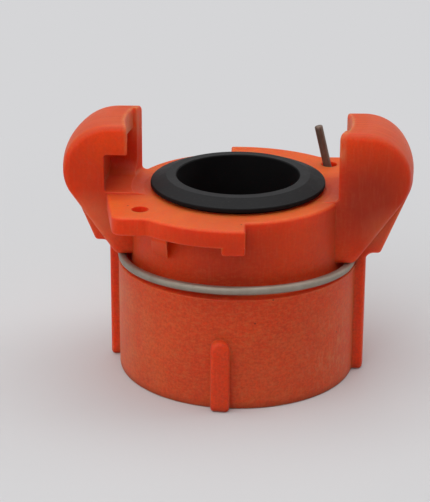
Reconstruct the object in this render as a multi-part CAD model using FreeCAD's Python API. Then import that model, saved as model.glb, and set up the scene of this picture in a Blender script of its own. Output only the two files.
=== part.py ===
import FreeCAD, Part
import math
import os
from FreeCAD import Vector

# A claw-type quick coupling with an internal pipe thread. The axis is Z, the thread's mouth is at z = 0
# and the coupling face looks up. Every feature has a copy turned by 180 degrees about the axis.
# All lengths are in millimetres and all angles in degrees.

# Skirt with the pipe thread
thread_radius = 29.8          # major radius of a G 2 thread
thread_length = 25.0
thread_lead_in = 1.2
skirt_wall = 4.7
skirt_height = 33.0
skirt_edge = 0.5
shoulder_edge = 0.35
seal_ledge = 4.6              # width of the ledge that the pipe seal lies on
seal_thickness = 2.5
seal_undercut = 0.5
seal_edge = 0.3
core_roof = 4.0               # thickness of the web under the gasket
core_blend = 2.0
web_edge = 0.5

# Neck and gasket
shoulder_width = 3.6
neck_height = 21.2
neck_edge = 0.8
neck_foot = 0.24
seat_edge = 0.3
core_wall = 4.8               # wall of the neck around the cored hollow
feature_root = 1.5            # how deep the claws, cams and ribs reach into the neck and the skirt
rim_wall = 7.8                # wall of the neck around the gasket
gasket_wall = 5.4
gasket_depth = 9.5
gasket_proud = 3.7
gasket_flare = 2.0            # how far the gasket's rim hangs over the face
gasket_lift = 0.9             # height of the rim's underside above the face
gasket_rim = 1.0              # height of the rim's straight side
gasket_slope = 4.5            # width of the slope between the rim and the flat top
gasket_lip = 1.1
gasket_lip_height = 2.4
gasket_clearance = 0.05
gasket_edge = 0.4
gasket_squeeze = 1.2          # how much two gaskets give when two couplings are locked
web_bore_relief = 0.5

# Cam flange, its ears, end blocks and stop ribs
flange_width = 6.4
flange_thickness = 5.3
flange_edge = 0.8
segment_end = 2.1             # how far each segment runs past the middle plane
end_block_width = 6.4
end_block_drop = 2.05
end_block_edge = 0.8
ear_margin = 7.35
ear_corner = 3.5
ear_root = 2.9                # how much wider the ear is at its claw
ear_blend = 2.5
lock_hole_radius = 2.45
lock_hole_inset = 3.4         # from the flange's edge to the hole's middle, along its radius
lock_hole_angle = 37.0
stop_rib_width = 4.4
stop_rib_place = 21.5
stop_rib_height = 7.4
stop_rib_setback = 0.8
stop_rib_edge = 0.8
stop_rib_land = 1.0           # height of the stop rib's straight part at the flange

# Claws
claw_open = 8.0               # distance from the middle plane to the open face
claw_closed = 14.0            # distance from the middle plane to the closed face
wall_clearance = 0.3          # from the neck to the closed wall's inner side
nose_setback = 0.95           # how much further out the nose's inner side is
nose_width = 11.7
nose_roof = 8.55
closed_wall = 3.8
pocket_clearance = 1.3
pocket_headroom = 0.5
pocket_step = 0.55            # how far the pocket's floor stands above the face
pocket_edge = 0.8
pocket_end_edge = 1.5
pocket_heel = 4.0             # hollow rounding between the floor and the closed wall
mouth_edge = 0.4
pocket_apron = 6.5            # how far the floor's ramp reaches inside the closed wall
apron_dip = 0.3               # how deep the ramp's inner end lies below the face
claw_wall = 11.35
claw_foot = 1.0
claw_waist = 2.7              # height of the widest part's lower end above the flange
claw_crown = 13.6
claw_bend = 12.0
claw_edge = 1.8
claw_heel = 1.2               # hollow rounding at the foot of the closed wall's inner side
claw_inner_edge = 0.5

# Ribs on the skirt and gussets under the claws
rib_width = 5.3
rib_proud = 2.9
rib_offset = 4.5
rib_edge = 1.1
short_rib_height = 21.2
gusset_reach = 4.1
gusset_lift = 0.7             # height of the gusset's underside above the claw's
gusset_blend = 2.2
gusset_corner = 1.2
gusset_inset = 0.05           # how far the gusset stays inside the claw's outer side
gusset_run = 5.0              # how far the gusset runs up inside the claw

# Lock spring, bent from one round wire
wire_diameter = 2.4
slot_clearance = 0.35
ring_play = 1.3               # how loosely the ring lies round the neck
ring_shift = 0.6
ring_lift = 1.3               # how far the ring's front is raised between the claws
ring_end_angle = 14.0
hinge_past_claw = 1.6
arm_rise = 6.0
arm_travel = 5.8
pin_lean = 13.6
pin_splay = 3.4
pin_bend = 3.6
arm_straight = 1.6            # the straight piece between the arm's arc and the pin's bend
pin_past_mate = 0.2
spring_gap = 0.3

# Radii and heights that follow
claw_root = claw_edge + 0.4
skirt_radius = thread_radius + skirt_wall
neck_radius = skirt_radius - shoulder_width
core_radius = neck_radius - core_wall
neck_root = neck_radius - feature_root
skirt_root = skirt_radius - feature_root
seat_radius = neck_radius - rim_wall
gasket_radius = seat_radius - gasket_clearance
flow_radius = seat_radius - gasket_wall - gasket_clearance
flange_radius = neck_radius + flange_width
pocket_radius = flange_radius + pocket_clearance
claw_inner = neck_radius + wall_clearance
nose_inner = claw_inner + nose_setback
claw_radius = pocket_radius + claw_wall
rib_radius = skirt_radius + rib_proud
wire_radius = wire_diameter / 2.0
flange_top = skirt_height + neck_height
flange_bottom = flange_top - flange_thickness
block_bottom = flange_bottom - end_block_drop
claw_bottom = skirt_height + wire_diameter + slot_clearance
face_gap = 2.0 * gasket_proud - gasket_squeeze
nose_bottom = flange_top + face_gap + flange_thickness
pocket_top = nose_bottom + end_block_drop + pocket_headroom
claw_top = nose_bottom + nose_roof
waist = flange_top + claw_waist
apron_radius = claw_inner - pocket_apron
gusset_bottom = claw_bottom + gusset_lift
seat_bottom = flange_top - gasket_depth
core_top = seat_bottom - core_roof
pocket_floor = flange_top + pocket_step
ledge_height = thread_length + seal_thickness
ledge_radius = min(thread_radius - seal_ledge, core_radius)
seal_groove_radius = thread_radius + seal_undercut
ring_radius = neck_radius + wire_radius + ring_play
slot_radius = ring_radius + wire_radius + spring_gap
lock_hole_reach = flange_radius - lock_hole_inset
hole_x = lock_hole_reach * math.cos(math.radians(lock_hole_angle))
hole_y = lock_hole_reach * math.sin(math.radians(lock_hole_angle))
far = 2.0 * claw_radius
line_share = 0.98              # how much of a line the roundings at its two ends may take
up = Vector(0, 0, 1)
middle = Vector(0, 0, 0)


def half_angle(before, corner, after):
    return (before - corner).getAngle(after - corner) / 2.0


def corner_cut(before, corner, after, run):
    # The two tangent points and the middle of the arc that rounds one corner, from its tangents' length.
    to_before = before - corner
    to_after = after - corner
    to_before.normalize()
    to_after.normalize()
    half = to_before.getAngle(to_after) / 2.0
    radius = run * math.tan(half)
    inward = to_before + to_after
    inward.normalize()
    centre = corner + inward * (radius / math.sin(half))
    return corner + to_before * run, centre - inward * radius, corner + to_after * run


def rounded_wire(corners, place):
    # A closed outline of straight lines, with an arc at each corner that has a radius. Two corners
    # whose line is too short for both share it in proportion.
    points = [place(u, v) for u, v, radius in corners]
    count = len(points)
    runs = []
    for i in range(count):
        half = half_angle(points[i - 1], points[i], points[(i + 1) % count])
        runs.append(corners[i][2] / math.tan(half))
    shares = []
    for i in range(count):
        length = (points[(i + 1) % count] - points[i]).Length
        wanted = runs[i] + runs[(i + 1) % count]
        shares.append(min(1.0, line_share * length / max(wanted, 1e-6)))
    stretches = []
    for i in range(count):
        run = runs[i] * min(shares[i - 1], shares[i])
        if run > 0:
            stretches.append(corner_cut(points[i - 1], points[i], points[(i + 1) % count], run))
        else:
            stretches.append((points[i],))
    edges = []
    for i in range(count):
        here = stretches[i]
        if len(here) == 3:
            edges.append(Part.Arc(*here).toShape())
        start = here[-1]
        end = stretches[(i + 1) % count][0]
        if (end - start).Length > 1e-6:
            edges.append(Part.LineSegment(start, end).toShape())
    return Part.Wire(Part.__sortEdges__(edges))


def turned(corners):
    # A solid of revolution about the axis, from corners given as radius, height and rounding.
    face = Part.Face(rounded_wire(corners, lambda u, v: Vector(u, 0, v)))
    return face.revolve(middle, up, 360)


def block(x_low, x_high, y_low, y_high, z_low, z_high):
    corner = Vector(x_low, y_low, z_low)
    return Part.makeBox(x_high - x_low, y_high - y_low, z_high - z_low, corner)


def half_turn(shape):
    copy = shape.copy()
    copy.rotate(middle, up, 180)
    return copy


def is_level_y(edge, y):
    box = edge.BoundBox
    return abs(box.YMin - y) < 1e-4 and abs(box.YMax - y) < 1e-4


def core():
    # The turned part: skirt, shoulder and neck, with the thread bore, the hollow and the gasket's seat.
    lip_radius = seat_radius + gasket_lip
    web_bore = flow_radius + web_bore_relief
    outside = [
        (thread_radius + thread_lead_in, 0, 0),
        (skirt_radius, 0, skirt_edge),
        (skirt_radius, skirt_height, shoulder_edge),
        (neck_radius, skirt_height, neck_foot),
        (neck_radius, flange_top, neck_edge),
        (seat_radius, flange_top, seat_edge),
    ]
    inside = [
        (seat_radius, seat_bottom + gasket_lip_height, 0),
        (lip_radius, seat_bottom + gasket_lip_height, 0),
        (lip_radius, seat_bottom, 0),
        (web_bore, seat_bottom, 0),
        (web_bore, core_top, web_edge),
        (ledge_radius, core_top, core_blend),
        (ledge_radius, ledge_height, 0),
        (seal_groove_radius, ledge_height, 0),
        (seal_groove_radius, thread_length, 0),
        (thread_radius, thread_length, 0),
        (thread_radius, thread_lead_in, 0),
    ]
    return turned(outside + inside)


def flange_segment():
    # The front cam segment with its ear beside the left claw, the end block and the stop rib.
    ring = turned([
        (neck_root, flange_bottom, 0),
        (flange_radius, flange_bottom, 0),
        (flange_radius, flange_top, 0),
        (neck_root, flange_top, 0),
    ])
    overlap = 1.0
    arc = ring.common(block(-far, segment_end, -far, overlap - claw_open, 0, far))
    ear_x = hole_x + ear_margin
    ear_y = hole_y + ear_margin
    outline = rounded_wire([
        (-hole_x + ear_margin, overlap - claw_open, 0),
        (-ear_x - ear_root, overlap - claw_open, 0),
        (-ear_x, -ear_y, ear_corner),
        (-hole_x + ear_margin, -ear_y, 0),
    ], lambda u, v: Vector(u, v, flange_bottom))
    ear = Part.Face(outline).extrude(Vector(0, 0, flange_thickness))
    hub = Part.makeCylinder(neck_root, flange_thickness, Vector(0, 0, flange_bottom), up)
    plate = arc.fuse(ear.cut(hub)).removeSplitter()
    meeting = math.sqrt(flange_radius ** 2 - ear_y ** 2)
    inner_corner = [e for e in plate.Edges if is_upright(e, -meeting, -ear_y)]
    plate = plate.makeFillet(ear_blend, inner_corner)
    rim = [e for e in plate.Edges if is_plate_rim(e)]
    return plate.makeFillet(flange_edge, rim)


def is_upright(edge, x, y):
    box = edge.BoundBox
    at_place = abs(box.XMin - x) < 0.01 and abs(box.YMin - y) < 0.01
    return at_place and box.ZLength > 0.9 * flange_thickness and box.XLength < 0.01


def is_plate_rim(edge):
    # Level edges on the outer wall of the plate, above and below, and round the segment's end.
    box = edge.BoundBox
    level = box.ZLength < 1e-4
    middle_point = edge.valueAt((edge.FirstParameter + edge.LastParameter) / 2.0)
    outside = math.hypot(middle_point.x, middle_point.y) > neck_radius + 1.0
    in_claw = box.YMin > 0.5 - claw_open
    return level and outside and not in_claw


def end_block():
    shape = turned([
        (neck_root, block_bottom, 0),
        (flange_radius, block_bottom, flange_edge),
        (flange_radius, flange_top, flange_edge),
        (neck_root, flange_top, 0),
    ])
    low = segment_end - end_block_width
    shape = shape.common(block(low, segment_end, -far, 0, 0, far))
    corners = [e for e in shape.Edges if is_block_corner(e, low)]
    return shape.makeFillet(end_block_edge, corners)


def is_block_corner(edge, low):
    # The level edges under the block's two sides and the upright ones on its outer wall.
    box = edge.BoundBox
    on_side = abs(box.XMin - low) < 0.01 or abs(box.XMax - segment_end) < 0.01
    outside = box.YMax < -neck_radius - 1.0 and box.XLength < 0.01
    return on_side and outside and box.ZMin < flange_bottom - 0.5


def stop_rib():
    shape = turned([
        (neck_root, flange_bottom + stop_rib_land, 0),
        (flange_radius - stop_rib_setback, flange_bottom + stop_rib_land, 0),
        (flange_radius - stop_rib_setback, flange_bottom - stop_rib_land, stop_rib_edge),
        (neck_radius + stop_rib_land, flange_bottom - stop_rib_height, stop_rib_edge),
        (neck_root, flange_bottom - stop_rib_height, 0),
    ])
    low = -stop_rib_place - stop_rib_width / 2.0
    return shape.common(block(low, low + stop_rib_width, -far, 0, 0, far))


def claw():
    # The left claw with its pocket. The pocket's mouth is rounded from its outer wall to the nose.
    shape = claw_block().cut(pocket())
    return shape.makeFillet(mouth_edge, [e for e in shape.Edges if is_mouth_edge(e)])


def is_mouth_edge(edge):
    box = edge.BoundBox
    above_floor = box.ZMin > pocket_floor + pocket_edge - 0.01 and box.ZMax < nose_bottom + 0.01
    return is_level_y(edge, -claw_open) and above_floor and edge_reach(edge) < pocket_radius + 0.01


def claw_block():
    # The claw before its pocket is cut.
    shape = turned([
        (neck_root, claw_bottom, 0),
        (skirt_radius + claw_foot, claw_bottom, claw_root),
        (claw_radius, waist, claw_bend),
        (claw_radius, claw_top, claw_crown),
        (claw_inner, claw_top, 0),
        (claw_inner, pocket_floor, claw_heel),
        (apron_radius, flange_top - apron_dip, 0),
    ])
    shape = shape.common(block(-far, 0, -claw_open, claw_closed, 0, far))
    shape = shape.makeFillet(claw_edge, [e for e in shape.Edges if is_outer_claw_edge(e)])
    setback = turned([
        (neck_root, nose_bottom - 1.0, 0),
        (nose_inner, nose_bottom - 1.0, 0),
        (nose_inner, claw_top + 1.0, 0),
        (neck_root, claw_top + 1.0, 0),
    ])
    shape = shape.cut(setback.common(block(-far, 0, -far, claw_closed - closed_wall, 0, far)))
    return shape.makeFillet(claw_inner_edge, [e for e in shape.Edges if is_inner_claw_edge(e)])


def is_outer_claw_edge(edge):
    # Edges of the claw's two faces on its outside and its top.
    on_face = is_level_y(edge, -claw_open) or is_level_y(edge, claw_closed)
    box = edge.BoundBox
    return on_face and box.ZMax > claw_bottom + 0.1 and edge_reach(edge) > claw_inner + 1.0


def is_inner_claw_edge(edge):
    # Edges of the nose's and the closed wall's inner sides, on the faces and along the top.
    box = edge.BoundBox
    ends = [math.hypot(v.X, v.Y) for v in edge.Vertexes]
    on_nose = max(abs(r - nose_inner) for r in ends) < 1e-3 and box.YMax < claw_closed - closed_wall + 0.01
    on_wall = max(abs(r - claw_inner) for r in ends) < 1e-3 and box.YMin > claw_closed - closed_wall - 0.01
    at_face = box.YMin < claw_edge - claw_open or box.YMax > claw_closed - claw_edge
    upright = box.YLength < 0.01 and at_face
    on_top = box.ZMax > claw_top - claw_edge - 0.01 and box.ZMin > claw_top - claw_edge - 0.01
    return (on_nose or on_wall) and (upright or on_top)


def edge_reach(edge):
    return max(math.hypot(v.X, v.Y) for v in edge.Vertexes)


def pocket():
    # The hollow that takes the other coupling's cam segment: a mouth under the nose and a deeper end.
    mouth = turned([
        (apron_radius, pocket_floor, 0),
        (pocket_radius, pocket_floor, pocket_edge),
        (pocket_radius, nose_bottom, pocket_edge),
        (apron_radius, nose_bottom, 0),
    ])
    deep = turned([
        (apron_radius, pocket_floor, 0),
        (pocket_radius, pocket_floor, pocket_edge),
        (pocket_radius, pocket_top, pocket_end_edge),
        (apron_radius, pocket_top, 0),
    ])
    mouth = mouth.common(pocket_run(-claw_open))
    deep = deep.common(pocket_run(nose_width - claw_open))
    return mouth.fuse(deep)


def pocket_run(start):
    # The pocket's length along Y, from its start to the closed wall, with the heel's hollow rounding.
    end = claw_closed - closed_wall
    above = pocket_top + 1.0
    outline = rounded_wire([
        (start, pocket_floor, 0),
        (end, pocket_floor, pocket_heel),
        (end, above, 0),
        (start, above, 0),
    ], lambda u, v: Vector(-far, u, v))
    return Part.Face(outline).extrude(Vector(far, 0, 0))


def gusset():
    # The rib from the skirt's bottom up to the left claw, and the gusset that it grows into.
    shape = turned([
        (skirt_root, 0, 0),
        (rib_radius, 0, gusset_corner),
        (rib_radius, gusset_bottom, gusset_blend),
        (rib_radius + gusset_reach, gusset_bottom, gusset_corner),
        (claw_radius - gusset_inset, waist, claw_bend),
        (claw_radius - gusset_inset, waist + gusset_run, 0),
        (pocket_radius + claw_root, waist + gusset_run, 0),
        (skirt_root, claw_bottom + claw_root, 0),
    ])
    low = rib_offset - rib_width / 2.0
    shape = shape.common(block(-far, 0, low, low + rib_width, 0, far))
    sides = [e for e in shape.Edges if is_gusset_side(e, low)]
    return shape.makeFillet(rib_edge, sides).cut(wire_slot())


def is_gusset_side(edge, low):
    on_side = is_level_y(edge, low) or is_level_y(edge, low + rib_width)
    box = edge.BoundBox
    outside = edge_reach(edge) > rib_radius - gusset_corner
    below_top = box.ZMax < waist + gusset_run - 0.1
    return on_side and outside and box.ZLength > 0.01 and below_top


def wire_slot():
    # The gap over the shoulder and under the claws, in which the lock spring's ring lies.
    return turned([
        (neck_root, skirt_height, 0),
        (slot_radius, skirt_height, 0),
        (slot_radius, claw_bottom, 0),
        (neck_root, claw_bottom, 0),
    ])


def short_rib():
    half = rib_width / 2.0
    outline = rounded_wire([
        (-rib_offset - half, 0, gusset_corner),
        (-rib_offset + half, 0, gusset_corner),
        (-rib_offset + half, short_rib_height, 0.98 * half),
        (-rib_offset - half, short_rib_height, 0.98 * half),
    ], lambda u, v: Vector(u, -neck_root, v))
    bar = Part.Face(outline).extrude(Vector(0, -far, 0))
    sleeve = turned([
        (skirt_root, 0, 0),
        (rib_radius, 0, 0),
        (rib_radius, short_rib_height + 1.0, 0),
        (skirt_root, short_rib_height + 1.0, 0),
    ])
    rib = bar.common(sleeve)
    return rib.makeFillet(rib_edge, [e for e in rib.Edges if is_rib_crest(e)])


def is_rib_crest(edge):
    return min(math.hypot(v.X, v.Y) for v in edge.Vertexes) > rib_radius - 0.01


def lock_hole():
    # The hole in the front left ear. The copy in the other ear holds the spring's pin.
    return Part.makeCylinder(lock_hole_radius, far, Vector(-hole_x, -hole_y, claw_bottom), up)


def coupling_body():
    half = [flange_segment(), end_block(), stop_rib(), claw(), gusset(), short_rib()]
    solid = core().fuse(half + [half_turn(shape) for shape in half])
    solid = solid.cut([lock_hole(), half_turn(lock_hole())])
    return solid.removeSplitter()


def gasket():
    # The face seal: a sleeve with a lip that snaps under the neck's rim and a raised ring on top.
    lip_radius = seat_radius + gasket_lip - gasket_clearance
    lip_top = seat_bottom + gasket_lip_height - gasket_clearance
    top = flange_top + gasket_proud
    rim_radius = gasket_radius + gasket_flare
    rim_bottom = flange_top + gasket_lift
    return turned([
        (flow_radius, seat_bottom, gasket_edge),
        (lip_radius, seat_bottom, gasket_edge),
        (lip_radius, lip_top, gasket_edge),
        (gasket_radius, lip_top, 0),
        (gasket_radius, flange_top, seat_edge),
        (rim_radius, rim_bottom, 0.4 * gasket_edge),
        (rim_radius, rim_bottom + gasket_rim, gasket_edge),
        (rim_radius - gasket_slope, top, 1.5 * gasket_edge),
        (flow_radius, top, gasket_edge),
    ])


def pipe_seal():
    # The flat ring at the thread's bottom, which a pipe's end is screwed against.
    outer = seal_groove_radius - gasket_clearance
    inner = ledge_radius
    bottom = ledge_height - seal_thickness
    return turned([
        (inner, bottom, seal_edge),
        (outer, bottom, seal_edge),
        (outer, ledge_height, seal_edge),
        (inner, ledge_height, seal_edge),
    ])


# The lock spring. Its ring is a circle in plan, loose round the neck. It lies flat on the shoulder under
# the claws, and between them its front part is a little raised.
ring_centre = Vector(0, -ring_shift, (skirt_height + claw_bottom) / 2.0)


def ring_angle(y):
    # The angle about the ring's own centre at which its right half reaches a place along Y.
    return math.degrees(math.asin((y + ring_shift) / ring_radius))


hinge_angle = 180.0 - ring_angle(claw_closed + hinge_past_claw)
left_bend_angle = 180.0 - ring_angle(-claw_open)
right_bend_angle = 360.0 + ring_angle(-claw_closed)
gap_angle = math.degrees(0.5 * spring_gap / ring_radius)


def ring_point(angle):
    # A point of the ring's centre line, by its angle about the ring's own centre.
    a = math.radians(angle)
    flat = Vector(math.cos(a), math.sin(a), 0) * ring_radius
    return ring_centre + flat


hinge_point = ring_point(hinge_angle)


def wire_along(path):
    # The round wire along a path of lines and arcs that run smoothly into each other.
    start = path.Edges[0].Vertexes[0].Point
    heading = path.Edges[0].tangentAt(path.Edges[0].FirstParameter)
    section = Part.Wire(Part.Circle(start, heading, wire_radius).toShape())
    return path.makePipeShell([section], True, True)


def lock_spring_ring():
    # From the hinge under the left claw, round the raised front and under the right claw.
    left = [ring_point(a) for a in spread(hinge_angle + gap_angle, left_bend_angle)]
    right = [ring_point(a) for a in spread(right_bend_angle, 360.0 + ring_end_angle)]
    top = ring_point(270) + Vector(0, 0, ring_lift)
    front = [left[2], top, right[0]]
    return wire_along(Part.Wire([Part.Arc(*points).toShape() for points in (left, front, right)]))


def spread(first, last):
    return first, (first + last) / 2.0, last


def pin_direction():
    # The pin leans towards the left claw and a little to the back.
    lean = Vector(-math.tan(math.radians(pin_lean)), math.tan(math.radians(pin_splay)), 1.0)
    lean.normalize()
    return lean


def pin_at(height):
    # The point of the pin's centre line at a height. It passes through the middle of the hole.
    direction = pin_direction()
    middle_height = flange_top - flange_thickness / 2.0
    return Vector(hole_x, hole_y, middle_height) + direction * ((height - middle_height) / direction.z)


def arm_foot():
    # Where the pin's centre line meets the arm, which rises from the hinge at the arm's slope.
    height = hinge_point.z
    for i in range(30):
        foot = pin_at(height)
        across = math.hypot(foot.x - hinge_point.x, foot.y - hinge_point.y)
        height = hinge_point.z + across * math.tan(math.radians(arm_rise))
    return pin_at(height)


def hinge_axis():
    chord = arm_foot() - hinge_point
    axis = Vector(-chord.y, chord.x, 0)
    axis.normalize()
    return axis


def turned_about_hinge(point, angle):
    turn = FreeCAD.Rotation(hinge_axis(), angle)
    return hinge_point + turn.multVec(point - hinge_point)


def lock_spring_arm():
    # Drawn flat at the hinge's height, then turned up to its resting slope.
    foot = turned_about_hinge(arm_foot(), arm_rise)
    tip = turned_about_hinge(pin_at(nose_bottom + pin_past_mate), arm_rise)
    inward = Vector(ring_centre.x, ring_centre.y, hinge_point.z) - hinge_point
    inward.normalize()
    chord = foot - hinge_point
    straight = pin_bend + arm_straight
    radius = (chord.dot(chord) - straight ** 2) / (2.0 * chord.dot(inward))
    centre = hinge_point + inward * radius
    to_foot = foot - centre
    sweep = math.degrees(math.acos(radius / to_foot.Length))
    end_angle = math.degrees(math.atan2(to_foot.y, to_foot.x)) + sweep
    from_centre = hinge_point - centre
    start_angle = math.degrees(math.atan2(from_centre.y, from_centre.x)) - gap_angle

    def arc_point(angle):
        a = math.radians(angle)
        return centre + Vector(math.cos(a), math.sin(a), 0) * radius

    arc_end = arc_point(end_angle)
    arc = Part.Arc(arc_point(start_angle), arc_point((start_angle + end_angle) / 2.0), arc_end)
    bend_run = pin_bend / math.tan(half_angle(arc_end, foot, tip))
    bend_start, bend_middle, bend_end = corner_cut(arc_end, foot, tip, bend_run)
    path = Part.Wire([
        arc.toShape(),
        Part.LineSegment(arc_end, bend_start).toShape(),
        Part.Arc(bend_start, bend_middle, bend_end).toShape(),
        Part.LineSegment(bend_end, tip).toShape(),
    ])
    arm = wire_along(path)
    arm.rotate(hinge_point, hinge_axis(), -arm_rise)
    return arm


def main():
    os.makedirs("parts", exist_ok=True)
    nodes = {
        "coupling_body": coupling_body(),
        "gasket": gasket(),
        "pipe_seal": pipe_seal(),
        "lock_spring_ring": lock_spring_ring(),
        "lock_spring_arm": lock_spring_arm(),
    }
    for name, shape in nodes.items():
        shape.exportStep("parts/" + name + ".step")
        print(name, "valid", shape.isValid(), "solids", len(shape.Solids), "volume", round(shape.Volume, 1))
    print("hinge point", [round(value, 4) for value in hinge_point])
    print("hinge axis", [round(value, 6) for value in hinge_axis()])
    print("pin direction", [round(value, 6) for value in pin_direction()])
    print("pin foot", [round(value, 4) for value in arm_foot()])
    print("arm travel", arm_travel)


if __name__ == "__main__":
    main()
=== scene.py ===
import math
import bpy
from mathutils import Matrix, Quaternion, Vector


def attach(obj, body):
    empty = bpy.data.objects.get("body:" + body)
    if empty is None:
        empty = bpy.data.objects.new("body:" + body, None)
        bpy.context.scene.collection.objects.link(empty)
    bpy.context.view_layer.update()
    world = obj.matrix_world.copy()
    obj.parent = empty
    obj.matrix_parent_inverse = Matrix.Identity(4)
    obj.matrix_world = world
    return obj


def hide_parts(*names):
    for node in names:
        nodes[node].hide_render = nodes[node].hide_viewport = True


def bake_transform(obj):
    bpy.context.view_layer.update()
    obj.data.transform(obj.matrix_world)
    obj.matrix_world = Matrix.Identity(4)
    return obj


# Dresses a claw-type quick coupling: moulded nylon body, rubber seals, bent wire spring and pipe thread.

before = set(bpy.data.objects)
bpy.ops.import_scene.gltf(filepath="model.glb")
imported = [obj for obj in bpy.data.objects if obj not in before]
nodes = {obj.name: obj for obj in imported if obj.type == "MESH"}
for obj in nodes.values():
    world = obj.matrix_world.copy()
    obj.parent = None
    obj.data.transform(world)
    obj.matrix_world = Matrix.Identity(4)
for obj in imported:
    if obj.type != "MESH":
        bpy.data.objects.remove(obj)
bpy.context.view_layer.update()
print("frame loaded,", len(nodes), "solids")


def mm(value):
    return value / 1000.0


def perMetre(sizeMm):
    # A noise texture's scale for features of that many millimetres.
    return 1000.0 / sizeMm


def hexColour(text):
    # sRGB hex to the linear values that a shader wants.
    parts = [int(text[i:i + 2], 16) / 255.0 for i in (0, 2, 4)]
    linear = [c / 12.92 if c <= 0.04045 else ((c + 0.055) / 1.055) ** 2.4 for c in parts]
    return (*linear, 1.0)


def addNode(tree, kind, settings=None, values=None, links=None):
    # One node with its settings, its socket values and its incoming links.
    node = tree.nodes.new(kind)
    for name, value in (settings or {}).items():
        setattr(node, name, value)
    for name, value in (values or {}).items():
        node.inputs[name].default_value = value
    for name, source in (links or {}).items():
        tree.links.new(source, node.inputs[name])
    return node


# Camera, at the photograph's own place

camera = {
    "place": (0.44, -491.6, 225.03),   # mm from the middle of the skirt's foot
    "pitch": 21.223,                   # degrees down
    "yaw": 0.81,                       # degrees to the left
    "roll": 0.256,
    "lens": 129.83,                    # mm, for the sensor's long side
    "sensor": 36.0,
}


def makeCamera():
    data = bpy.data.cameras.new("viewCamera")
    data.lens = camera["lens"]
    data.sensor_width = camera["sensor"]
    data.clip_start = 0.01
    data.clip_end = 20.0
    yaw, pitch, roll = (math.radians(camera[key]) for key in ("yaw", "pitch", "roll"))
    level = Vector((math.cos(yaw), math.sin(yaw), 0))
    ahead = Vector((-math.sin(yaw), math.cos(yaw), 0))
    forward = ahead * math.cos(pitch) - Vector((0, 0, math.sin(pitch)))
    upright = level.cross(forward)
    right = level * math.cos(roll) + upright * math.sin(roll)
    above = upright * math.cos(roll) - level * math.sin(roll)
    turn = Matrix((right, above, -forward)).transposed()
    holder = bpy.data.objects.new("viewCamera", data)
    holder.matrix_world = Matrix.Translation(Vector(camera["place"]) / 1000.0) @ turn.to_4x4()
    bpy.context.scene.collection.objects.link(holder)
    bpy.context.scene.camera = holder


makeCamera()
bpy.context.scene.view_settings.view_transform = "Standard"
print("camera set")


# Finishes

# Each finish is a dictionary: its colours, grains, films of colour over the base, roughness, relief and the
# shader's plain values. A measure is a value that changes over the surface, such as a grain, the height or
# the distance from a spot. Grains that are too fine to show at their real size are drawn coarser.
noiseSpan = (0.3, 0.7)         # where most of a noise texture's values lie


def newMaterial(name, grains):
    # A material with its shader, the place on the object, and a noise for each grain. A grain is its stretch,
    # its size in mm, and the detail and roughness of the noise.
    material = bpy.data.materials.new(name)
    material.use_nodes = True
    tree = material.node_tree
    tree.nodes.clear()
    shader = addNode(tree, "ShaderNodeBsdfPrincipled")
    addNode(tree, "ShaderNodeOutputMaterial", links={"Surface": shader.outputs["BSDF"]})
    place = addNode(tree, "ShaderNodeTexCoord").outputs["Object"]
    measures = {}
    for grain, (stretch, sizeMm, detail, roughness) in grains.items():
        at = place
        if stretch:
            mapping = addNode(tree, "ShaderNodeMapping", values={"Scale": stretch}, links={"Vector": place})
            at = mapping.outputs["Vector"]
        noise = addNode(tree, "ShaderNodeTexNoise", values={
            "Scale": perMetre(sizeMm), "Detail": detail, "Roughness": roughness}, links={"Vector": at})
        measures[grain] = noise.outputs["Fac"]
    return material, tree, shader, place, measures


def layFilms(tree, finish, films, measures):
    # A film is a colour and one or more fields, whose covers are multiplied. A field is a measure, the two
    # values that it is read between, in mm where its name ends so, and the cover at either of them.
    skin = None
    for colour, *fields in films:
        share = None
        for name, low, high, coverLow, coverHigh in fields:
            if name.endswith("Mm"):
                low, high = mm(low), mm(high)
            field = addNode(tree, "ShaderNodeMapRange", values={
                "From Min": low, "From Max": high, "To Min": coverLow, "To Max": coverHigh},
                links={"Value": measures[name]}).outputs["Result"]
            if share is not None:
                field = addNode(tree, "ShaderNodeMath", {"operation": "MULTIPLY"},
                                links={0: share, 1: field}).outputs["Value"]
            share = field
        values, links = {"B": hexColour(finish[colour])}, {"Factor": share}
        if skin is None:
            values["A"] = hexColour(finish["base"])
        else:
            links["A"] = skin
        skin = addNode(tree, "ShaderNodeMix", {"data_type": "RGBA"}, values, links).outputs["Result"]
    return skin


def applyFinish(tree, shader, finish, films, measures):
    # Gives the shader a finish's colours, roughness, relief and plain values.
    tree.links.new(layFilms(tree, finish, films, measures), shader.inputs["Base Color"])
    grain, middle, spread = finish["roughness"]
    rough = addNode(tree, "ShaderNodeMapRange", values={
        "From Min": noiseSpan[0], "From Max": noiseSpan[1],
        "To Min": middle - spread, "To Max": middle + spread}, links={"Value": measures[grain]})
    tree.links.new(rough.outputs["Result"], shader.inputs["Roughness"])
    relief = None
    for grain, depthMm, strength in finish["relief"]:
        bump = addNode(tree, "ShaderNodeBump", values={"Strength": strength, "Distance": mm(depthMm)},
                       links={"Height": measures[grain]})
        if relief is not None:
            tree.links.new(relief, bump.inputs["Normal"])
        relief = bump.outputs["Normal"]
    tree.links.new(relief, shader.inputs["Normal"])
    for socket, value in finish["sockets"].items():
        shader.inputs[socket].default_value = value


# Moulded nylon body

skirtSide = 34.7               # mm from the axis: the skirt lies inside it, its ribs outside
noseSide = 32.6                # mm from the axis to the inner side of the claws' noses

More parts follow.
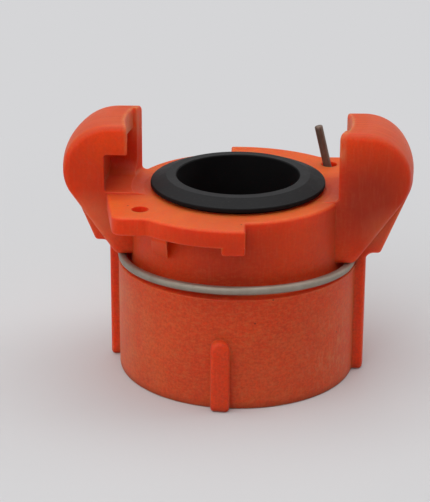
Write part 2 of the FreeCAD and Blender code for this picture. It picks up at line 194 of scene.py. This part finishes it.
nylon = {
    "base": "DA3D09",          # glass-filled polyamide, orange masterbatch, where the resin has flowed thick
    "side": "E7450C",          # where it has flowed thin
    "top": "E7611D",           # painted sheen: paler where the skin looks up, standing in for the gloss of the top light
    "paleSkinAndSheen": "DE7B44",          # paler skin of the skirt; on the skirt's left it is also painted sheen, lighter where the light falls
    "scuffAndHighlight": "D98457",         # bruised, whitened plastic; along the edges and on the gussets' corners, painted highlight
    "paintedGlow": "F4520E",          # painted glow on the thin noses and rims, as if light shone through them
    "crown": "C4401C",         # duller skin of the crowns, handled most
    "grimeAndFootShade": "A2330E",         # held in the mould texture; along the skirt's foot it is painted shade
    "paintedShade": "9C260E",         # painted shade: on the right claw's front, in the pockets and under the flange
    "speck": "4A2016",
    "grains": {                # stretch, mm, detail, roughness
        "flow": (None, 16.0, 4.0, 0.6),                  # clouds of the resin's flow
        "grain": (None, 0.7, 4.0, 0.7),                  # spark-eroded mould texture, coarser than real
        "sink": (None, 6.0, 3.0, 0.5),                   # shallow waves where the wall has shrunk
        "bruise": (None, 5.0, 6.0, 0.75),
        "streak": ((1.0, 1.0, 0.12), 0.55, 3.0, 0.6),    # drag lines from the mould's opening, along Z
        "fibre": ((0.45, 0.45, 1.0), 0.8, 3.0, 0.65),    # level glass fibres near the skin, coarser than real
        "toolLine": ((0.05, 1.0, 0.05), 0.9, 3.0, 0.6),  # over the claws' crowns, square to Y
        "scratch": ((1.0, 1.0, 0.35), 1.3, 3.0, 0.6),
    },
    "spots": {                 # mm; a film near one of these fades with the distance from it
        "rightFaceShadeMm": (37.0, -14.0, 55.0),                   # centre of the painted shade on the front of the right claw
        "rubMm": (27.5, -20.5, 13.0),                    # a rubbed patch low on the skirt
        "underFlangeShadeMm": (-3.0, -31.0, 42.0),                   # centre of the painted shadow under the flange
    },
    "twinSpots": {             # the same, for spots that lie alike on both sides
        "pocketMm": (33.0, 0.0, 54.5),
        "gussetHighlightMm": (43.0, 8.0, 45.0),                   # painted highlight on the gusset's rounded corner
    },
    "speckMm": 9.0,            # from one dark speck to the next
    "edgeMm": 0.6,             # how far the rubbed edges and their painted highlight reach in
    "films": (
        ("side", ("flow", 0.35, 0.68, 0.0, 1.0)),
        # painted sheen on the faces that look up, less of it on the skirt and in the pockets
        ("top", ("upward", 0.1, 0.9, 0.0, 1.0), ("sink", 0.25, 0.6, 0.75, 1.0),
            ("heightMm", 37, 41, 0.15, 1.0), ("pocketMm", 8, 14, 0.2, 1.0)),
        # paler skin over the skirt, with more of it on the left side as painted sheen
        ("paleSkinAndSheen", ("heightMm", 24, 36, 1.0, 0.0), ("sink", 0.3, 0.65, 0.22, 0.6),
            ("acrossMm", -33, -15, 1.0, 0.42), ("axisMm", skirtSide, skirtSide + 0.7, 1.0, 0.1)),
        # painted glow on the noses beside the claws' open faces
        ("paintedGlow", ("heightMm", 62, 69, 0.0, 0.7), ("upward", 0.3, 0.6, 1.0, 0.0),
            ("openSide", 0.0, 0.0001, 0.6, 1.0), ("axisMm", 40, 47, 1.0, 0.15)),
        # painted shade on the right claw's front face
        ("paintedShade", ("rightFaceShadeMm", 5, 18, 0.78, 0.0)),
        # painted shade in the pockets
        ("paintedShade", ("pocketMm", 6, 14, 0.4, 0.0)),
        # painted shadow on the neck under the flange
        ("paintedShade", ("underFlangeShadeMm", 4, 18, 0.4, 0.0)),
        ("grimeAndFootShade", ("grain", 0.36, 0.62, 0.45, 0.0), ("heightMm", 30, 46, 1.0, 0.45)),
        ("paleSkinAndSheen", ("fibre", 0.46, 0.68, 0.0, 0.32), ("heightMm", 32, 42, 1.0, 0.25),
            ("axisMm", skirtSide, skirtSide + 0.7, 1.0, 0.25)),
        ("grimeAndFootShade", ("heightMm", 0.3, 2.2, 0.6, 0.0)),     # painted shade along the skirt's foot, where it meets the floor
        ("scuffAndHighlight", ("streak", 0.5, 0.75, 0.0, 0.1)),
        ("crown", ("heightMm", 60, 66, 0.0, 1.0), ("upward", 0.2, 0.8, 0.0, 1.0),
            ("toolLine", 0.35, 0.7, 0.4, 0.8)),
        ("scuffAndHighlight", ("rubMm", 5, 15, 1.0, 0.05), ("scratch", 0.52, 0.66, 0.0, 0.48)),
        ("scuffAndHighlight", ("bruise", 0.62, 0.76, 0.0, 0.2)),
        # painted highlight on the gussets' corners
        ("scuffAndHighlight", ("gussetHighlightMm", 5, 11, 0.4, 0.0)),
        ("scuffAndHighlight", ("axisMm", noseSide, noseSide + 0.8, 1.0, 0.0), ("heightMm", 64, 68, 0.0, 1.0),
            ("scratch", 0.35, 0.6, 0.15, 0.6)),
        # rubbed edges, with painted highlight along every edge
        ("scuffAndHighlight", ("edge", 0.9, 0.99, 1.0, 0.0), ("sink", 0.4, 0.65, 0.15, 0.55)),
        ("speck", ("speck", 0.02, 0.036, 0.8, 0.0)),
    ),
    "roughness": ("grain", 0.52, 0.08),                  # the grain, the middle and the spread
    "relief": (("grain", 0.05, 0.6), ("streak", 0.05, 0.2), ("sink", 0.2, 0.5)),   # depth in mm, strength
    "sockets": {
        "IOR": 1.53,
        "Specular IOR Level": 0.22,                      # the eroded skin scatters most of its gloss
        "Subsurface Weight": 1.0,                        # thin ribs and rims glow with the light from above
        "Subsurface Radius": (1.0, 0.14, 0.05),
        "Subsurface Scale": mm(6.5),                     # how far the light wanders inside the plastic
        "Sheen Weight": 0.03,                            # dust that shows where the skin turns away
        "Sheen Roughness": 0.4,
    },
}


def makeNylon():
    # Satin skin: clouded colour from the resin's flow, painted sheen where it looks up and on the skirt's
    # left, an eroded grain, upright drag lines, tool lines on the crowns, held grime, small scuffs and a few
    # dark specks; painted glow on the noses, painted shade on the right claw's front, in the pockets, under
    # the flange and along the foot, and painted highlight along the edges.
    material, tree, shader, place, measures = newMaterial("mouldedGlassNylon", nylon["grains"])
    normal = addNode(tree, "ShaderNodeNewGeometry").outputs["Normal"]
    measures["upward"] = addNode(tree, "ShaderNodeSeparateXYZ", links={"Vector": normal}).outputs["Z"]
    ways = addNode(tree, "ShaderNodeSeparateXYZ", links={"Vector": place}).outputs
    measures["acrossMm"], measures["heightMm"] = ways["X"], ways["Z"]
    # above zero on the two quarters that hold the claws' open faces, in square metres
    measures["openSide"] = addNode(tree, "ShaderNodeMath", {"operation": "MULTIPLY"},
                                   links={0: ways["X"], 1: ways["Y"]}).outputs["Value"]
    mirrored = addNode(tree, "ShaderNodeVectorMath", {"operation": "ABSOLUTE"}, links={0: place})
    flat = addNode(tree, "ShaderNodeVectorMath", {"operation": "MULTIPLY"}, {1: (1.0, 1.0, 0.0)}, {0: place})
    for at, spots in ((place, nylon["spots"]), (mirrored.outputs["Vector"], nylon["twinSpots"]),
                      (flat.outputs["Vector"], {"axisMm": (0.0, 0.0, 0.0)})):
        for name, spot in spots.items():
            measures[name] = addNode(tree, "ShaderNodeVectorMath", {"operation": "DISTANCE"},
                                     {1: Vector(spot) / 1000}, {0: at}).outputs["Value"]
    # a bevelled normal leaves the true one only near an edge
    bevel = addNode(tree, "ShaderNodeBevel", {"samples": 4}, {"Radius": mm(nylon["edgeMm"])})
    measures["edge"] = addNode(tree, "ShaderNodeVectorMath", {"operation": "DOT_PRODUCT"},
                               links={0: bevel.outputs["Normal"], 1: normal}).outputs["Value"]
    measures["speck"] = addNode(tree, "ShaderNodeTexVoronoi", values={"Scale": perMetre(nylon["speckMm"])},
                                links={"Vector": place}).outputs["Distance"]
    applyFinish(tree, shader, nylon, nylon["films"], measures)
    return material


# Rubber gasket and pipe seal

rubber = {
    "base": "0E0E0F",          # carbon-black nitrile rubber
    "paintedSheen": "343435",         # painted sheen: paler grey on the faces that look up
    "dust": "55534F",
    "openUp": (0.84, 0.99),    # how far a face has to look up to get the painted sheen and the dust
    "grains": {
        "smear": (None, 6.0, 5.0, 0.65),                 # where hands have wiped it
        "dust": (None, 0.7, 3.0, 0.6),                   # coarser than real
        "grain": (None, 0.5, 3.0, 0.6),                  # of the mould, coarser than real
    },
    "roughness": ("smear", 0.6, 0.1),
    "relief": (("grain", 0.06, 0.5),),
    "sockets": {
        "IOR": 1.52,
        "Specular IOR Level": 0.1,                       # no polish left on the moulded skin
    },
}


def makeRubber(name, sheenShare):
    # Moulded rubber: dull black, with a painted sheen and fine dust on the faces that look up.
    material, tree, shader, _, measures = newMaterial(name, rubber["grains"])
    normal = addNode(tree, "ShaderNodeNewGeometry").outputs["Normal"]
    measures["upward"] = addNode(tree, "ShaderNodeSeparateXYZ", links={"Vector": normal}).outputs["Z"]
    openUp = ("upward", *rubber["openUp"], 0.0, sheenShare)
    films = (
        ("paintedSheen", openUp, ("smear", *noiseSpan, 0.5, 1.0)),
        ("dust", openUp, ("dust", 0.6, 0.78, 0.0, 0.5)),
    )
    applyFinish(tree, shader, rubber, films, measures)
    return material


# Spring wire

steel = {
    "base": "93897C",          # drawn spring wire under a thin grey phosphate coat
    "bare": "ABA398",          # rubbed bright
    "stain": "62493C",         # brown of old oil and first rust, on the pin
    "grains": {
        "coat": (None, 5.0, 5.0, 0.63),                  # thicker and thinner places in the coat
        "grain": (None, 0.35, 3.0, 0.63),                # of the coat, coarser than real
    },
    "films": (
        ("bare", ("coat", 0.4, 0.7, 0.0, 0.6)),
        ("stain", ("heightMm", 37, 45, 0.08, 0.95), ("coat", 0.3, 0.65, 1.0, 0.75)),
    ),
    "roughness": ("grain", 0.515, 0.065),
    "relief": (("grain", 0.03, 0.3),),
    "sockets": {"Metallic": 0.6},                        # the coat hides part of the metal
}


def makeSteel():
    # Dull grey wire, even in tone, rubbed a little brighter in places and stained brown up the pin.
    material, tree, shader, place, measures = newMaterial("coatedSpringSteel", steel["grains"])
    measures["heightMm"] = addNode(tree, "ShaderNodeSeparateXYZ", links={"Vector": place}).outputs["Z"]
    applyFinish(tree, shader, steel, steel["films"], measures)
    return material


nylonSkin = makeNylon()
gasketSkin = makeRubber("mouldedNitrileRubber", 0.8)
sealSkin = makeRubber("punchedRubberSheet", 0.4)
steelSkin = makeSteel()
for nodeName, skin in (("coupling_body", nylonSkin), ("gasket", gasketSkin), ("pipe_seal", sealSkin)):
    mesh = nodes[nodeName].data
    mesh.materials.clear()
    mesh.materials.append(skin)
print("materials made")


def meshPiece(name, points, faces, skin):
    mesh = bpy.data.meshes.new(name)
    mesh.from_pydata([tuple(point) for point in points], [], faces)
    mesh.update()
    for face in mesh.polygons:
        face.use_smooth = True
    mesh.materials.append(skin)
    piece = bpy.data.objects.new(name, mesh)
    bpy.context.scene.collection.objects.link(piece)
    return piece


def skinned(rings):
    # Points and faces of a skin over closed rings of points in mm, with a cap at either end.
    width = len(rings[0])
    points = [point / 1000 for ring in rings for point in ring]
    faces = []
    for b in range(width, len(points), width):
        a = b - width
        faces += [(a + k, a + (k + 1) % width, b + (k + 1) % width, b + k) for k in range(width)]
    faces.append(tuple(reversed(range(width))))
    faces.append(tuple(range(len(points) - width, len(points))))
    return points, faces


# Internal pipe thread

thread = {
    "majorRadius": 29.8,       # the plain bore of the solid
    "minorRadius": 28.33,
    "pitch": 2.309,            # 11 turns to the inch
    "bottom": 1.3,             # mm above the skirt's end
    "top": 24.9,
    "buried": 0.12,            # how far the ridge's back lies in the wall
    "crestHalf": 0.11,         # half the crest's width, as share of the pitch
    "crestDrop": 0.16,         # how much lower the crest's sides are, as share of the depth
    "crestAngles": (-90, -50, 0, 50, 90),
    "foot": ((0.0, 0.47), (0.05, 0.35), (0.16, 0.3)),   # rise and distance from the ridge's middle, as shares
    "stepsPerTurn": 96,
    "fadeTurns": 0.6,
    "leastFade": 0.02,         # the ends keep a trace of height, so that their faces don't fold
}


def threadProfile():
    # One ridge over one pitch, as shares of the depth and of the pitch: rounded crest, steep flanks and a
    # hollow foot.
    crest = []
    for angle in thread["crestAngles"]:
        swing = math.sin(math.radians(angle))
        crest.append((1.0 - thread["crestDrop"] * swing ** 2, thread["crestHalf"] * swing))
    low = [(rise, -place) for rise, place in thread["foot"]]
    return low + crest + list(reversed(thread["foot"]))


def makeThread():
    major, pitch, fadeTurns = thread["majorRadius"], thread["pitch"], thread["fadeTurns"]
    depth, back = major - thread["minorRadius"], major + thread["buried"]
    footHalf = thread["foot"][0][1]
    turns = (thread["top"] - thread["bottom"] - pitch) / pitch
    count = int(turns * thread["stepsPerTurn"])
    rings = []
    for i in range(count + 1):
        turn = turns * i / count
        fade = min(1.0, turn / fadeTurns, (turns - turn) / fadeTurns)
        height = depth * math.sin(math.pi / 2 * max(fade, thread["leastFade"]))
        middle = thread["bottom"] + pitch / 2 + pitch * turn
        section = [(major - height * rise, place) for rise, place in threadProfile()]
        section = [(back, -footHalf)] + section + [(back, footHalf)]
        outward = Vector((math.cos(2 * math.pi * turn), -math.sin(2 * math.pi * turn), 0))
        rings.append([outward * radius + Vector((0, 0, middle + place * pitch)) for radius, place in section])
    piece = meshPiece("pipe_thread", *skinned(rings), nylonSkin)
    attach(piece, "coupling")


makeThread()
print("thread cut")


# Lock spring, one bent wire, in mm and degrees

wire = {
    "diameter": 2.4,
    "ringRadius": 33.4,
    "ringShift": -0.6,         # the ring's centre along Y
    "ringHeight": 34.375,
    "frontLift": 1.3,          # the front is raised between the claws
    "leftFace": -8.0,          # where the raised part starts, along Y
    "rightFace": -14.0,
    "freeEnd": 14.0,           # the ring's end under the right claw, past +X
    "hinge": (-29.2082, 15.6, 34.375),
    "foot": (29.7265, 19.7501, 40.5846),   # the corner where the arm turns up into the pin
    "pinLean": (-0.234751, 0.057649, 0.970345),
    "pinTip": 65.9,            # height of the tip
    "bendRadius": 3.6,
    "bendSteps": 10,
    "armStraight": 5.2,        # from the end of the arm's arc to the foot
    "armTakesOver": (0.126, 2.14, 7.56),   # from the hinge, the way over which the arm takes up its turn
    "step": 1.0,               # from one ring of points to the next
    "sides": 24,
    "endRound": 0.25,          # chamfer at both ends
}


def ringPath():
    # From the free end under the right claw, by the front, to the hinge behind the left claw. The front
    # rises with its distance from the line that joins the two claws' faces.
    centre = Vector((0, wire["ringShift"], wire["ringHeight"]))
    radius = wire["ringRadius"]
    first = 360 + wire["freeEnd"]
    last = 180 - math.degrees(math.asin((wire["hinge"][1] - wire["ringShift"]) / radius))
    middle = (wire["leftFace"] + wire["rightFace"]) / 2
    slope = (wire["rightFace"] - wire["leftFace"]) / 2
    frontReach = middle - (wire["ringShift"] - radius)
    count = int(math.radians(first - last) * radius / wire["step"])
    path = []
    for i in range(count + 1):
        a = math.radians(first + (last - first) * i / count)
        point = centre + Vector((math.cos(a), math.sin(a), 0)) * radius
        share = (middle + slope * math.cos(a) - point.y) / frontReach
        point.z += wire["frontLift"] * min(1.0, max(0.0, share))
        path.append(point)
    return path


def straight(start, end):
    count = max(1, int((end - start).length / wire["step"]))
    return [start.lerp(end, i / count) for i in range(1, count + 1)]


def armPath():
    # From the hinge round the back, up to the pin and to its tip. It is laid out flat and then tilted.
    hinge, foot, lean = (Vector(wire[key]) for key in ("hinge", "foot", "pinLean"))
    tip = foot + lean * ((wire["pinTip"] - foot.z) / lean.z)
    chord = foot - hinge
    tiltAxis = Vector((-chord.y, chord.x, 0)).normalized()
    flatten = Quaternion(tiltAxis, math.atan2(chord.z, chord.to_2d().length))
    flatFoot, flatTip = (hinge + flatten @ (point - hinge) for point in (foot, tip))
    # the arc goes on from the ring's own direction and ends on a straight run to the foot
    inward = (Vector((0, wire["ringShift"], hinge.z)) - hinge).normalized()
    reach = flatFoot - hinge
    radius = (reach.dot(reach) - wire["armStraight"] ** 2) / (2 * reach.dot(inward))
    centre = hinge + inward * radius
    toFoot = flatFoot - centre
    startAngle = math.atan2(hinge.y - centre.y, hinge.x - centre.x)
    endAngle = math.atan2(toFoot.y, toFoot.x) + math.acos(radius / toFoot.length)
    count = int(abs(endAngle - startAngle) * radius / wire["step"])
    path = []
    for i in range(1, count + 1):
        a = startAngle + (endAngle - startAngle) * i / count
        path.append(centre + Vector((math.cos(a), math.sin(a), 0)) * radius)
    # the foot's corner is rounded up into the pin
    arcEnd = path[-1]
    before, after = (arcEnd - flatFoot).normalized(), (flatTip - flatFoot).normalized()
    half = before.angle(after) / 2
    run = wire["bendRadius"] / math.tan(half)
    bendCentre = flatFoot + (before + after).normalized() * (wire["bendRadius"] / math.sin(half))
    bendStart, bendEnd = flatFoot + before * run, flatFoot + after * run
    path += straight(arcEnd, bendStart)
    spoke = bendStart - bendCentre
    turn = spoke.rotation_difference(bendEnd - bendCentre)
    for i in range(1, wire["bendSteps"] + 1):
        path.append(bendCentre + Quaternion().slerp(turn, i / wire["bendSteps"]) @ spoke)
    path += straight(bendEnd, flatTip)
    tilt = flatten.inverted()
    return [hinge + tilt @ (point - hinge) for point in path]


def makeWire():
    path = ringPath() + armPath()
    last = len(path) - 1
    radius, rounding = wire["diameter"] / 2, wire["endRound"]
    headings = [(path[min(i + 1, last)] - path[max(i - 1, 0)]).normalized() for i in range(last + 1)]
    side = headings[0].cross(Vector((0, 0, 1))).normalized()
    slices = []
    for i, (point, heading) in enumerate(zip(path, headings)):
        if i:
            side = headings[i - 1].rotation_difference(heading) @ side
        slices.append((point, heading, side.copy(), radius))
    head, tail = slices[0], slices[-1]
    slices[0] = (head[0] + head[1] * rounding, *head[1:])
    slices[-1] = (tail[0] - tail[1] * rounding, *tail[1:])
    slices = [(*head[:3], radius - rounding)] + slices + [(*tail[:3], radius - rounding)]
    angles = [2 * math.pi * k / wire["sides"] for k in range(wire["sides"])]
    rings = []
    for point, heading, across, size in slices:
        other = heading.cross(across)
        rings.append([point + (across * math.cos(a) + other * math.sin(a)) * size for a in angles])
    piece = meshPiece("lock_spring_wire", *skinned(rings), steelSkin)
    for cap in piece.data.polygons[-2:]:
        cap.use_smooth = False
    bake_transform(piece)
    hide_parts("lock_spring_ring", "lock_spring_arm")


makeWire()
print("spring bent")


# Studio, in metres

studio = {
    "floor": "D7D7D8",         # matt card, as a photographer's roll
    "floorRoughness": 0.9,
    "floorGloss": 0.2,
    "seen": "D5D5D7",          # the pale paper far from the object, as the eye and the gloss see it
    "nearMm": 48.0,            # the paper is lit by the lamps up to here
    "farMm": 235.0,
    "halfWidth": 3.0,
    "backPlace": 2.2,
    "backHeight": 2.2,
    "bend": 0.6,
    "worldColour": "F4F5F7",
    "worldStrength": 0.24,
    "aim": (0.0, 0.0, 0.04),   # what the lamps look at
    "lamps": {                 # place, size and power in watts
        "top_softbox": ((-0.08, 0.1, 1.0), 1.3, 8.2),
        "left_softbox": ((-0.9, -0.5, 0.5), 0.7, 1.75),
        "right_softbox": ((0.9, 0.35, 0.6), 0.7, 2.1),
        "front_softbox": ((-0.3, -0.9, 0.7), 0.8, 2.5),
    },
}


def seenShare(tree):
    # 1 for what the camera, a reflection or glass sees directly, 0 for the light that falls on the object.
    rays = addNode(tree, "ShaderNodeLightPath")
    share = rays.outputs["Is Camera Ray"]
    for name in ("Is Glossy Ray", "Is Transmission Ray"):
        share = addNode(tree, "ShaderNodeMath", {"operation": "MAXIMUM"},
                        links={0: share, 1: rays.outputs[name]}).outputs["Value"]
    return share


def makePaper():
    # Lit by the lamps near the object, and fading to one pale tone away from it.
    material, tree, shader, place, _ = newMaterial("paperSweep", {})
    shader.inputs["Base Color"].default_value = hexColour(studio["floor"])
    shader.inputs["Roughness"].default_value = studio["floorRoughness"]
    shader.inputs["Specular IOR Level"].default_value = studio["floorGloss"]
    reach = addNode(tree, "ShaderNodeVectorMath", {"operation": "LENGTH"}, links={0: place})
    far = addNode(tree, "ShaderNodeMapRange", {"interpolation_type": "SMOOTHSTEP"}, {
        "From Min": mm(studio["nearMm"]), "From Max": mm(studio["farMm"]), "To Min": 0.0, "To Max": 1.0},
        {"Value": reach.outputs["Value"]})
    pale = addNode(tree, "ShaderNodeEmission", values={"Color": hexColour(studio["seen"]), "Strength": 1.0})
    share = addNode(tree, "ShaderNodeMath", {"operation": "MULTIPLY"},
                    links={0: far.outputs["Result"], 1: seenShare(tree)})
    blended = addNode(tree, "ShaderNodeMixShader", links={
        0: share.outputs["Value"], 1: shader.outputs["BSDF"], 2: pale.outputs["Emission"]})
    tree.links.new(blended.outputs["Shader"], tree.nodes["Material Output"].inputs["Surface"])
    return material


def makeSweep():
    width, back, bend = studio["halfWidth"], studio["backPlace"], studio["bend"]
    profile = [(-width, 0.0), (back - bend, 0.0)]
    for angle in range(10, 91, 10):
        a = math.radians(angle)
        profile.append((back - bend + bend * math.sin(a), bend - bend * math.cos(a)))
    profile.append((back, studio["backHeight"]))
    points = [(x, y, z) for y, z in profile for x in (-width, width)]
    faces = [(k - 2, k - 1, k + 1, k) for k in range(2, len(points), 2)]
    meshPiece("studio_sweep", points, faces, makePaper())


def makeWorld():
    world = bpy.data.worlds.new("softRoom")
    bpy.context.scene.world = world
    world.use_nodes = True
    tree = world.node_tree
    tree.nodes.clear()
    lit = addNode(tree, "ShaderNodeBackground", values={
        "Color": hexColour(studio["worldColour"]), "Strength": studio["worldStrength"]})
    seen = addNode(tree, "ShaderNodeBackground", values={"Color": hexColour(studio["seen"]), "Strength": 1.0})
    mixed = addNode(tree, "ShaderNodeMixShader", links={
        0: seenShare(tree), 1: lit.outputs["Background"], 2: seen.outputs["Background"]})
    addNode(tree, "ShaderNodeOutputWorld", links={"Surface": mixed.outputs["Shader"]})


def makeLamps():
    for name, (place, size, power) in studio["lamps"].items():
        data = bpy.data.lights.new(name, "AREA")
        data.shape = "SQUARE"
        data.size = size
        data.energy = power
        holder = bpy.data.objects.new(name, data)
        holder.location = place
        holder.rotation_mode = "QUATERNION"
        holder.rotation_quaternion = (Vector(studio["aim"]) - Vector(place)).to_track_quat("-Z", "Y")
        bpy.context.scene.collection.objects.link(holder)


makeSweep()
makeWorld()
makeLamps()
print("studio lit")
